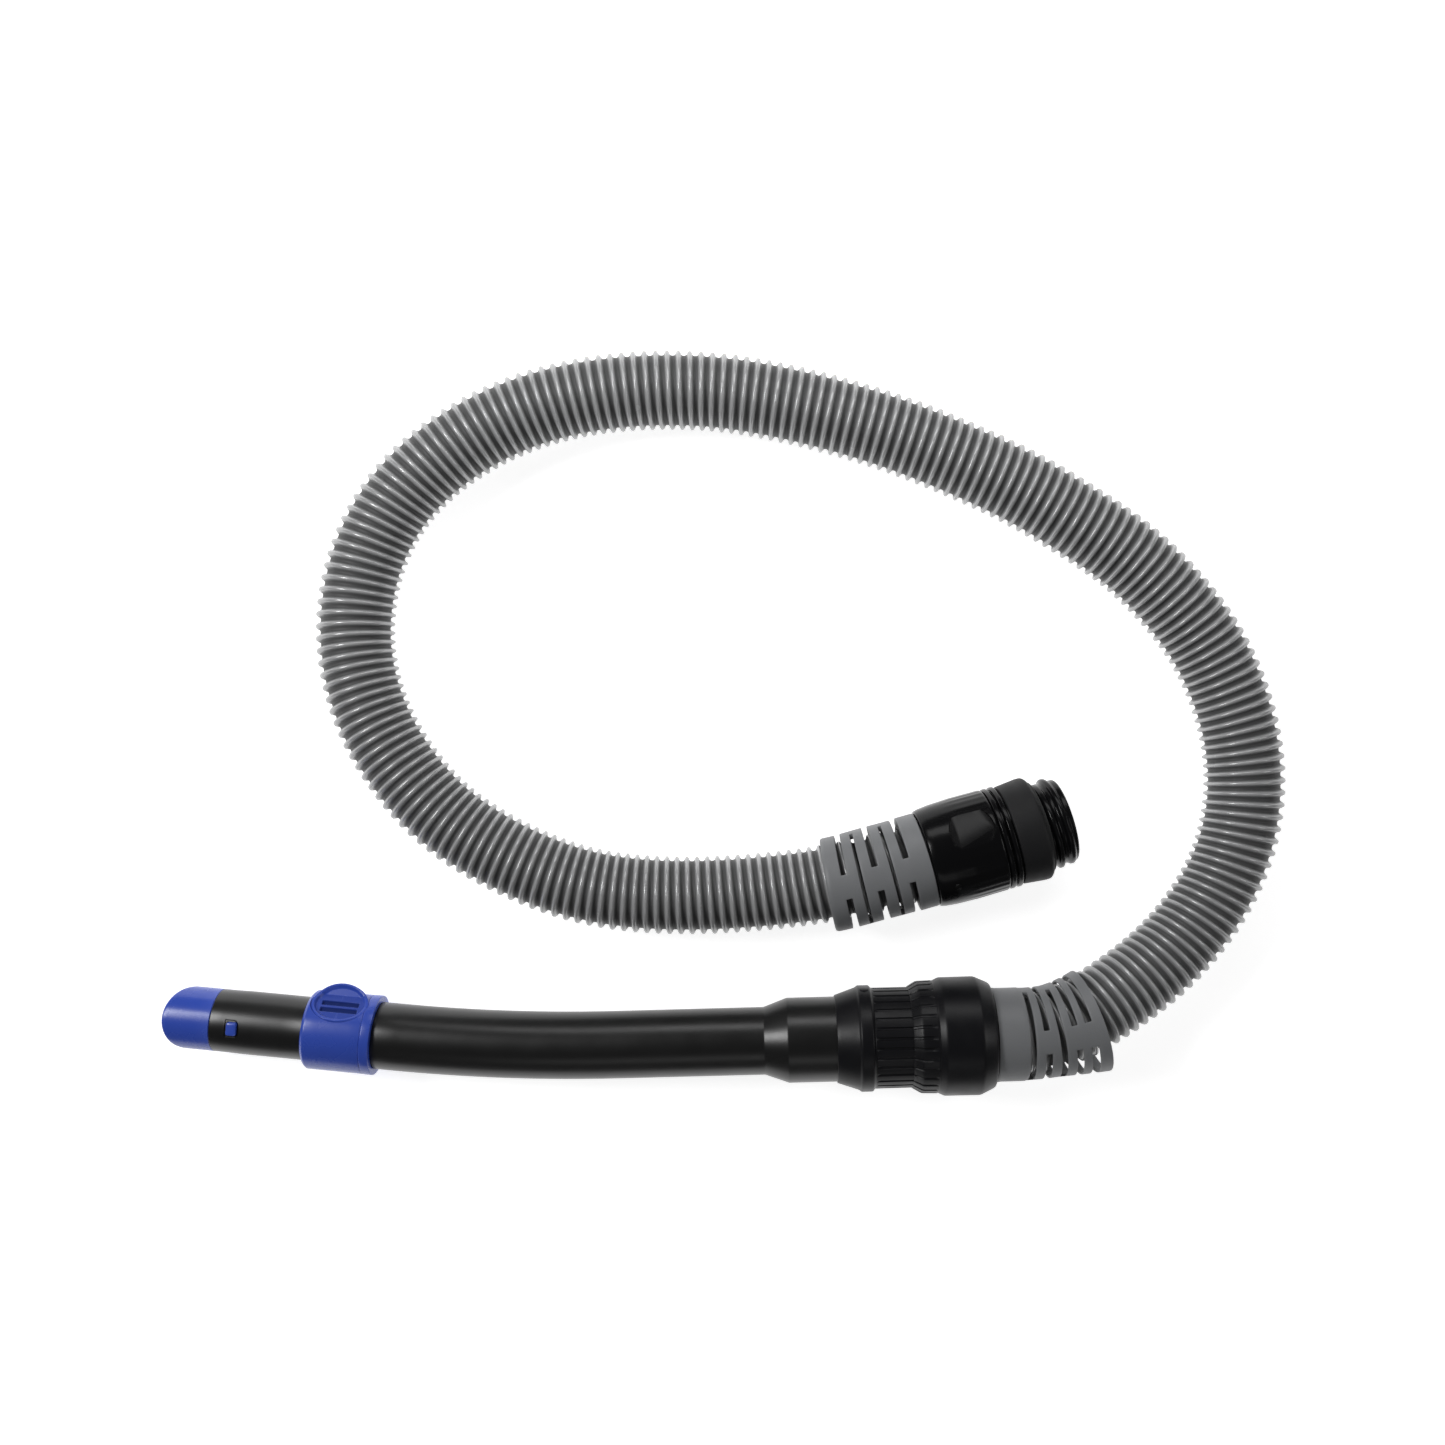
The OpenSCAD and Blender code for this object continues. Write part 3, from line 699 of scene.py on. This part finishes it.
# ---------------------------------------------------------------- grip tube and nose

SOCKET_RADIUS = 21.2
SOCKET_BORE = 18.2
TUBE_RADIUS = 16.9
TUBE_BORE = 14.0
JOURNAL_RADIUS = 16.4
SPIGOT_RADIUS = 16.0
TIP_RADIUS = 15.8
NOSE_START = -91.5
NOSE_TIP = -116.5
NOSE_BORE = 12.4
NOSE_SLEEVE = 33.5
BLEED_ENDS = (-32, -18)
LATCH_AT = -79.5
LATCH_WINDOW = (5.6, 7.0)


def latch_window():
    """Cutter for the latch button's window."""
    length, width = LATCH_WINDOW
    outline = oblong(LATCH_AT - length / 2, LATCH_AT + length / 2, width / 2)
    return prism(outline, NOSE_BORE / 2, TIP_RADIUS * 2, 0, IN_LEG)


def add_grip_tube():
    """The bent tube: flared socket at the coupling, journal under the ring, land and slimmer tip."""
    leg = LEG_START
    outline = [
        (-60, SOCKET_RADIUS), (-103.5, SOCKET_RADIUS), (-115.5, TUBE_RADIUS), (leg - 8.1, TUBE_RADIUS),
        (leg - 8.1, JOURNAL_RADIUS), (leg - 44.3, JOURNAL_RADIUS), (leg - 44.3, SPIGOT_RADIUS),
        (leg - 76, SPIGOT_RADIUS), (leg - 85, TIP_RADIUS), (leg + NOSE_START, TIP_RADIUS),
        (leg + NOSE_START, TUBE_BORE), (-115.5, TUBE_BORE), (-103.5, SOCKET_BORE), (-60, SOCKET_BORE),
    ]
    outline = dense(soften(outline, 0.5), 12)
    points, faces = lathe(outline, placed_on_grip)
    bleed = oblong(*BLEED_ENDS, 5.5)
    cutters = [latch_window(), d_groove(),
               prism(bleed, TUBE_BORE / 2, TUBE_RADIUS * 1.3, math.radians(140), IN_LEG)]
    piece("grip_tube", points, faces, "wand", "black_tube", ["wand_tube"], cutters)


def d_groove():
    """Cutter for a thin D-shaped groove round the latch button."""
    left, right, half, width, floor = LATCH_AT - 3.6, LATCH_AT + 3.4, 4.3, 0.5, TIP_RADIUS - 1.0
    flatness = 0.55

    def d_outline(grow):
        bow = half + grow
        arc = [math.radians(a) for a in np.linspace(-90, 90, 12)]
        middle = right - bow * flatness + grow
        bowed = [(middle + bow * flatness * math.cos(a), bow * math.sin(a)) for a in arc]
        return [(left - grow, -bow), *bowed, (left - grow, bow)]

    outer, inner, clear = d_outline(width / 2), d_outline(-width / 2), TIP_RADIUS + 1
    rings = []
    for outline, height in ((outer, floor), (outer, clear), (inner, clear), (inner, floor)):
        xs, ys = np.array(outline).T
        rings.append(placed(LEG, xs, ys, height))
    return np.concatenate(rings), grid_faces(len(rings), len(outer), wrap_rows=True)


MOUTH_ROLL = math.radians(10)
MOUTH_SLOPE = math.radians(60)


def mouth_x(radius, angle):
    """Where the sloping mouth meets a cylinder of that radius."""
    depth = TIP_RADIUS - radius * np.cos(angle - MOUTH_ROLL)
    return NOSE_TIP + depth / math.tan(MOUTH_SLOPE)


def add_nose():
    """Blue nose: a sleeve inside the tube, and a hooded end with a rounded lip.

    The lip's points are (radius, how far it stands back from the mouth).
    """
    lip = [(15.8, 3.0), (15.78, 1.6), (15.6, 0.8), (15.2, 0.3), (14.6, 0.06), (13.9, 0.0),
           (13.2, 0.15), (12.7, 0.6), (12.45, 1.3), (12.4, 2.4)]
    angle = np.linspace(0, FULL_TURN, 160, endpoint=False)
    sleeve_end, shoulder = NOSE_START + NOSE_SLEEVE, NOSE_START - 0.35
    rows = [(NOSE_BORE, sleeve_end), (TUBE_BORE, sleeve_end), (TUBE_BORE, NOSE_START),
            (TIP_RADIUS - 0.4, NOSE_START), (TIP_RADIUS, shoulder)]
    for share in (0.3, 0.65):
        rows.append((TIP_RADIUS, shoulder * (1 - share) + (mouth_x(TIP_RADIUS, angle) + 3) * share))
    rows += [(r, np.minimum(mouth_x(r, angle) + back, NOSE_START - 0.6)) for r, back in lip]
    rings = [placed(LEG, x, r * np.sin(angle), r * np.cos(angle)) for r, x in rows]
    points = np.concatenate(rings)
    faces = grid_faces(len(rows), len(angle), wrap_rows=True)
    piece("nose", points, faces, "wand", "blue_plastic", ["nose_insert"], [latch_window()])


# ---------------------------------------------------------------- latch button and regulator

def add_latch_button():
    """Key with rounded corners and a crowned top, on a wider foot."""
    half, corner, top, foot_low = (2.6, 3.3), 1.0, 17.5, 10.6

    def key(grow, round_by):
        """Outline of the key's plan, larger by grow and with corners of that radius."""
        points = []
        for turn in range(4):
            for t in np.linspace(0, 90, 6):
                a = math.radians(t + 90 * turn)
                cx = (half[0] + grow[0] - round_by) * (1 if turn in (0, 3) else -1)
                cy = (half[1] + grow[1] - round_by) * (1 if turn in (0, 1) else -1)
                points.append((cx + round_by * math.cos(a), cy + round_by * math.sin(a)))
        return points

    foot = (1.2, 0.65)
    levels = [(foot, 0.6, foot_low), (foot, 0.6, foot_low + 1), ((0, 0), corner, foot_low + 1),
              ((0, 0), corner, top - 0.7), ((-0.15, -0.15), corner, top - 0.35),
              ((-0.5, -0.5), corner, top - 0.12), ((-1.1, -1.1), corner, top)]
    rings = []
    for grow, round_by, z in levels:
        xs, ys = np.array(key(grow, round_by)).T
        rings.append(placed(LEG, LATCH_AT + xs, ys, z))
    n = len(rings[0])
    faces = grid_faces(len(levels), n) + end_faces(len(levels), n)
    piece("latch_key", np.concatenate(rings), faces, "latch", "blue_plastic", ["latch_button"])


RING_RADIUS = 20.1
RING_BORE = 16.45
RING_ENDS = (-43.9, -8.5)
PAD_FACES = math.radians(49)
PAD_MIDDLE = (-27.2, 3.3)
PAD_HALF_LENGTH = 14.7
PAD_HALF_WIDTH = 10.95
PAD_STOP = 5.6
PAD_PLANE = 19.4
PAD_GROOVES = (-3.3, 0.7)
GROOVE_HALF_LENGTH = 9.6
GROOVE_HALF_WIDTH = 1.5


def pad_outline(grow):
    """The pad's oval, larger by grow."""
    turns = np.linspace(0, FULL_TURN, 120, endpoint=False)
    return [(PAD_MIDDLE[0] + (PAD_HALF_LENGTH + grow) * math.cos(t),
             PAD_MIDDLE[1] + (PAD_HALF_WIDTH + grow) * math.sin(t)) for t in turns]


def add_regulator_ring():
    """The turning ring: chamfered ends, a narrow flange and the bleed port."""
    left, right = RING_ENDS
    outline = [
        (left, RING_BORE), (left, RING_RADIUS - 1.7), (left + 1.7, RING_RADIUS - 0.1),
        (right - 5.2, RING_RADIUS - 0.1), (right - 4.9, RING_RADIUS - 0.5), (right - 4.5, RING_RADIUS),
        (right, RING_RADIUS), (right, RING_BORE),
    ]
    outline = dense(soften(outline, 0.55), 6)
    points, faces = lathe(outline, IN_LEG, 160)
    bleed = oblong(*BLEED_ENDS, 6)
    cutters = [prism(bleed, RING_BORE / 2, RING_RADIUS * 1.4, math.radians(200), IN_LEG),
               prism(pad_outline(0.1), PAD_PLANE - 2.75, RING_RADIUS * 1.4, PAD_FACES, IN_LEG)]
    piece("regulator_sleeve", points, faces, "regulator", "blue_plastic", ["regulator_ring"], cutters)


def pad_height(u, v, share):
    """Height of the pad over its plane, and the painted shade for its dish and grooves.

    It has a dish, two grooves and a sloping thumb stop.
    """
    rim = 0.1 * smooth_step(share, 0.86, 0.95) - 0.35 * smooth_step(share, 0.965, 1.0) ** 2
    in_dish = 1 - smooth_step(share, 0.8, 0.9)
    stop = 0.57 * np.maximum(v - PAD_STOP, 0) * (1 - smooth_step(share, 0.95, 1.0) * 0.35)
    inside = smooth_step(GROOVE_HALF_LENGTH - abs(u), 0, 0.6)
    in_groove = 0
    for middle in PAD_GROOVES:
        in_groove = in_groove + smooth_step(GROOVE_HALF_WIDTH - abs(v - middle), 0, 0.45) * inside
    in_groove = in_groove * (share < 0.9)
    height = rim - 1.3 * in_dish + stop - 1.2 * in_groove
    # Painted shade: a little in the dish below the thumb stop, much in the grooves.
    painted_shade_mark = 0.25 * in_dish * (v < PAD_STOP) + 0.8 * in_groove
    return height, painted_shade_mark


def add_thumb_pad():
    """Oval pad that runs into the ring on its near side and stands proud on its far side."""
    share = np.concatenate([np.linspace(0.02, 0.78, 44), np.linspace(0.79, 1.0, 24)])[:, None]
    angle = np.linspace(0, FULL_TURN, 180, endpoint=False)[None, :]
    u = PAD_HALF_LENGTH * share * np.cos(angle)
    v = PAD_HALF_WIDTH * share * np.sin(angle)
    height, painted_shade_mark = pad_height(u, v, share)
    height = PAD_PLANE + height
    rim_u, rim_v, rim_height = u[-1:], v[-1:], height[-1:]
    for grow, drop in ((1.004, -1.2), (1.006, -3.0), (1.006, -9.5)):
        u = np.concatenate([u, rim_u * grow])
        v = np.concatenate([v, rim_v * grow])
        height = np.concatenate([height, np.minimum(rim_height, PAD_PLANE) + drop])
        painted_shade_mark = np.concatenate([painted_shade_mark, 0 * rim_u])
    across = PAD_MIDDLE[1] + v
    cosine, sine = math.cos(PAD_FACES), math.sin(PAD_FACES)
    sideways, upwards = across * cosine + height * sine, height * cosine - across * sine
    points = placed(LEG, PAD_MIDDLE[0] + u, sideways, upwards)
    faces = grid_faces(*u.shape) + end_faces(*u.shape)
    ring_bore = lathe([(-50, 0), (-50, RING_BORE + 0.3), (5, RING_BORE + 0.3), (5, 0)], IN_LEG)
    piece("thumb_pad", points.reshape(-1, 3), faces, "regulator", "blue_plastic", cutters=[ring_bore],
          sharp=50, painted_shade_mark=painted_shade_mark)


# ---------------------------------------------------------------- swivel coupling

RIBS = 32
RIB_SHARE = 0.7
RIB_FLANK = 0.16


def rib_grooves(angle, depth):
    """Narrow grooves between broad flat ribs."""
    phase = (angle * RIBS / FULL_TURN) % 1
    off = abs(phase - 0.5) * 2
    return depth * smooth_step(off, RIB_SHARE, RIB_SHARE + RIB_FLANK)


def add_ribbed_coupling():
    """Cone, bead and ribbed barrel on the tube's socket, with a small stop on the bead's side."""
    outline = [
        (-79.1, SOCKET_RADIUS), (-79.1, 21.9), (-68.2, 25.6), (-67.2, 26.5), (-61.4, 26.5), (-60.4, 25.1),
        (-41.2, 25.0), (-40.6, 24.4), (-40.6, 24.0), (-28, 24.0), (-28, SOCKET_RADIUS),
    ]
    outline = dense(soften(outline, 0.6), 2.0)

    def radius(x, r, angle):
        ribbed = (r > 24.3) * smooth_step(-x, 40.5, 41.5) * (1 - smooth_step(-x, 58.2, 60.2))
        return r - ribbed * rib_grooves(angle, 0.75)

    points, faces = lathe(outline, IN_WAND, 384, radius)
    piece("ribbed_barrel", points, faces, "wand", "black_coupling", ["ribbed_coupling"])
    boss = circle(-64.3, 0, 2.4, 24)
    points, faces = prism(boss, 24, 26.9, math.radians(78), IN_WAND)
    piece("bead_stop", points, faces, "wand", "black_coupling", bevel=0.4)


def add_swivel_collar():
    """Large collar with a ribbed skirt, and a lip inside its hose end."""
    outline = [
        (-41.4, 24.2), (-41.9, 25.2), (-37.2, 27.9), (-29.6, 28.1), (-28.9, 27.9), (-25.6, 29.45),
        (-7.8, 29.5), (-1.4, 26.6), (-0.3, 25.9), (-0.3, 21.5), (-2, 20.05), (-16, 20.05), (-16, 24.0),
    ]
    outline = dense(soften(outline, 0.9), 2.0)

    def radius(x, r, angle):
        ribbed = (r > 25.0) * smooth_step(-x, 29.9, 30.6) * (1 - smooth_step(-x, 41.2, 41.8))
        return r - ribbed * rib_grooves(angle, 0.6)

    points, faces = lathe(outline, IN_WAND, 384, radius)
    piece("swivel_sleeve", points, faces, "wand", "black_coupling", ["swivel_collar"])


# ---------------------------------------------------------------- machine connector

FLUTES = 36
TRIM_START = 36.9
TRIM_STEP = 3.6


def add_connector_body():
    """Slightly barrelled grip with faint flutes, a flat round thumb recess and a small round lug."""
    outline = [
        (0.3, 21.5), (0.3, 24.9), (3, 25.6), (9, 26.2), (20, 26.6), (35.6, 26.4), (36.8, 25.6),
        (36.8, 24), (16, 24), (16, 20.05), (2, 20.05),
    ]
    outline = dense(soften(outline, 0.8), 1.6)

    def radius(x, r, angle):
        fluted = (r > 25.2) * smooth_step(x, 12, 22) * smooth_step(36.4 - x, 0, 1.5)
        away = 1 - np.clip(np.cos(angle - math.radians(20)), 0, 1) * 0.7
        return r - fluted * away * 0.22 * (0.5 + 0.5 * np.cos(FLUTES * angle))

    points, faces = lathe(outline, IN_MACHINE, 288, radius)
    recess = prism(circle(23.5, 0, 11.3, 96), 25.0, 30, math.radians(26), IN_MACHINE)
    piece("connector_grip", points, faces, "connector", "black_gloss", ["connector_body"], [recess])
    points, faces = prism(circle(9.5, 0, 1.7, 32), 24, 26.75, math.radians(-34), IN_MACHINE)
    piece("grip_lug", points, faces, "connector", "black_gloss", bevel=0.35)


def add_trim_rings():
    """Two thin rounded rings behind the grip."""
    for k, name in enumerate(("trim_ring_1", "trim_ring_2")):
        x = TRIM_START + TRIM_STEP * k
        outline = [(x, 24), (x, 25.4), (x + 0.5, 26.3), (x + 2.3, 26.3), (x + 2.7, 25.4), (x + 2.7, 24)]
        points, faces = lathe(soften(outline, 0.7), IN_MACHINE)
        piece(name, points, faces, "connector", "black_gloss", ["trim_rings"] if k == 0 else ())


def add_connector_band():
    """Matt band that widens a little towards the thread."""
    outline = [(44, 24), (44, 24.9), (44.6, 25.6), (55, 26.7), (58, 26.7), (59.5, 25.2), (59.5, 24)]
    points, faces = lathe(dense(soften(outline, 0.9), 3), IN_MACHINE)
    piece("matt_band", points, faces, "connector", "black_matt", ["connector_band"])


THREAD_START = 62.6
THREAD_PITCH = 5.6
THREAD_TURNS = 1.6
THREAD_HEIGHT = 1.7


def thread_rise(x, r, angle):
    """Adds the right-hand tooth to the spigot's outside."""
    along = (x - THREAD_START) / THREAD_PITCH
    phase = ((math.pi / 2 - angle) / FULL_TURN) % 1
    rise = 0
    for turn in (0, 1):
        middle = phase + turn
        fade = np.clip(np.minimum(0.1 + middle * 4, 0.1 + (THREAD_TURNS - middle) * 4), 0, 1)
        flank = 1 - smooth_step(abs(along - middle) * THREAD_PITCH, 0.5, 2.3)
        rise = np.maximum(rise, fade * flank)
    return r + (r > 21) * (x > 59.6) * rise * THREAD_HEIGHT


def add_threaded_spigot():
    """Open spigot with the thread on its free end."""
    outline = [
        (25.2, 19), (25.2, 24), (59.5, 24), (59.5, 21.4), (73.2, 21.4), (74, 20.6), (74, 19),
    ]
    outline = dense(soften(outline, 0.3, 3), 0.4)
    points, faces = lathe(outline, IN_MACHINE, 160, thread_rise)
    piece("threaded_end", points, faces, "connector", "black_gloss", ["threaded_spigot"], sharp=45)


# ---------------------------------------------------------------- CAD nodes that stay

def finish_cad_nodes():
    """The ferrules, washers, seals, gasket and spring keep their CAD shapes and get their materials."""
    slots = {part["node"]: part["material_slot"] for part in frame["record"]["subparts"]}
    for node, obj in frame["nodes"].items():
        obj.data.materials.clear()
        obj.data.materials.append(MATERIALS[slots[node]])


# ---------------------------------------------------------------- stage and light

FLOOR_HALF = 3.0
FLOOR_Z = -0.0003


def add_floor():
    """Plain white paper, with a little glow of its own so that it stays pale."""
    material, tree, shader = new_material("paper")
    tone = blended(tree, mapped(tree, noise(tree, 14, 3), 0, 1), (0.74, 0.74, 0.74), (0.78, 0.78, 0.78))
    tree.links.new(tone, shader.inputs["Base Color"])
    shader.inputs["Roughness"].default_value = 0.9
    shader.inputs["Specular IOR Level"].default_value = 0.1
    shader.inputs["Emission Color"].default_value = (1, 1, 1, 1)
    shader.inputs["Emission Strength"].default_value = 0.8
    points = [(x * FLOOR_HALF, y * FLOOR_HALF, FLOOR_Z) for x, y in ((-1, -1), (1, -1), (1, 1), (-1, 1))]
    mesh = bpy.data.meshes.new("floor")
    mesh.from_pydata(points, [], [(0, 1, 2, 3)])
    mesh.materials.append(material)
    linked("floor", mesh)


def add_softbox(name, at, target, size, power):
    """A rectangular light of that size in metres, aimed at the target."""
    data = bpy.data.lights.new(name, "AREA")
    data.shape = "RECTANGLE"
    data.size, data.size_y = size
    data.energy = power
    light = bpy.data.objects.new(name, data)
    light.location = at
    light.rotation_euler = (Vector(target) - Vector(at)).to_track_quat("-Z", "Y").to_euler()
    bpy.context.collection.objects.link(light)


def add_light():
    """A tall window of light at the upper left, a long one behind, and weak fills in front and right."""
    middle = (0.07, 0.12, 0.02)
    add_softbox("left", (-0.75, 0.42, 0.9), middle, (0.5, 0.28), 7.8)
    add_softbox("back", (0.12, 0.48, 0.3), (0.05, 0.1, 0.02), (0.6, 0.16), 0.9)
    add_softbox("front", (0.1, -1.0, 1.0), middle, (0.9, 0.4), 0.7)
    add_softbox("right", (1.2, 0.1, 0.9), middle, (0.6, 0.4), 2.2)
    world = bpy.data.worlds.new("studio")
    world.use_nodes = True
    background = world.node_tree.nodes["Background"]
    background.inputs["Color"].default_value = (1, 1, 1, 1)
    background.inputs["Strength"].default_value = 0.08
    bpy.context.scene.world = world
    bpy.context.scene.view_settings.view_transform = "Standard"


add_camera()
add_hose()
add_handle_cuff()
add_machine_cuff()
add_grip_tube()
add_nose()
add_latch_button()
add_regulator_ring()
add_thumb_pad()
add_ribbed_coupling()
add_swivel_collar()
add_connector_body()
add_trim_rings()
add_connector_band()
add_threaded_spigot()
finish_cad_nodes()
add_floor()
add_light()
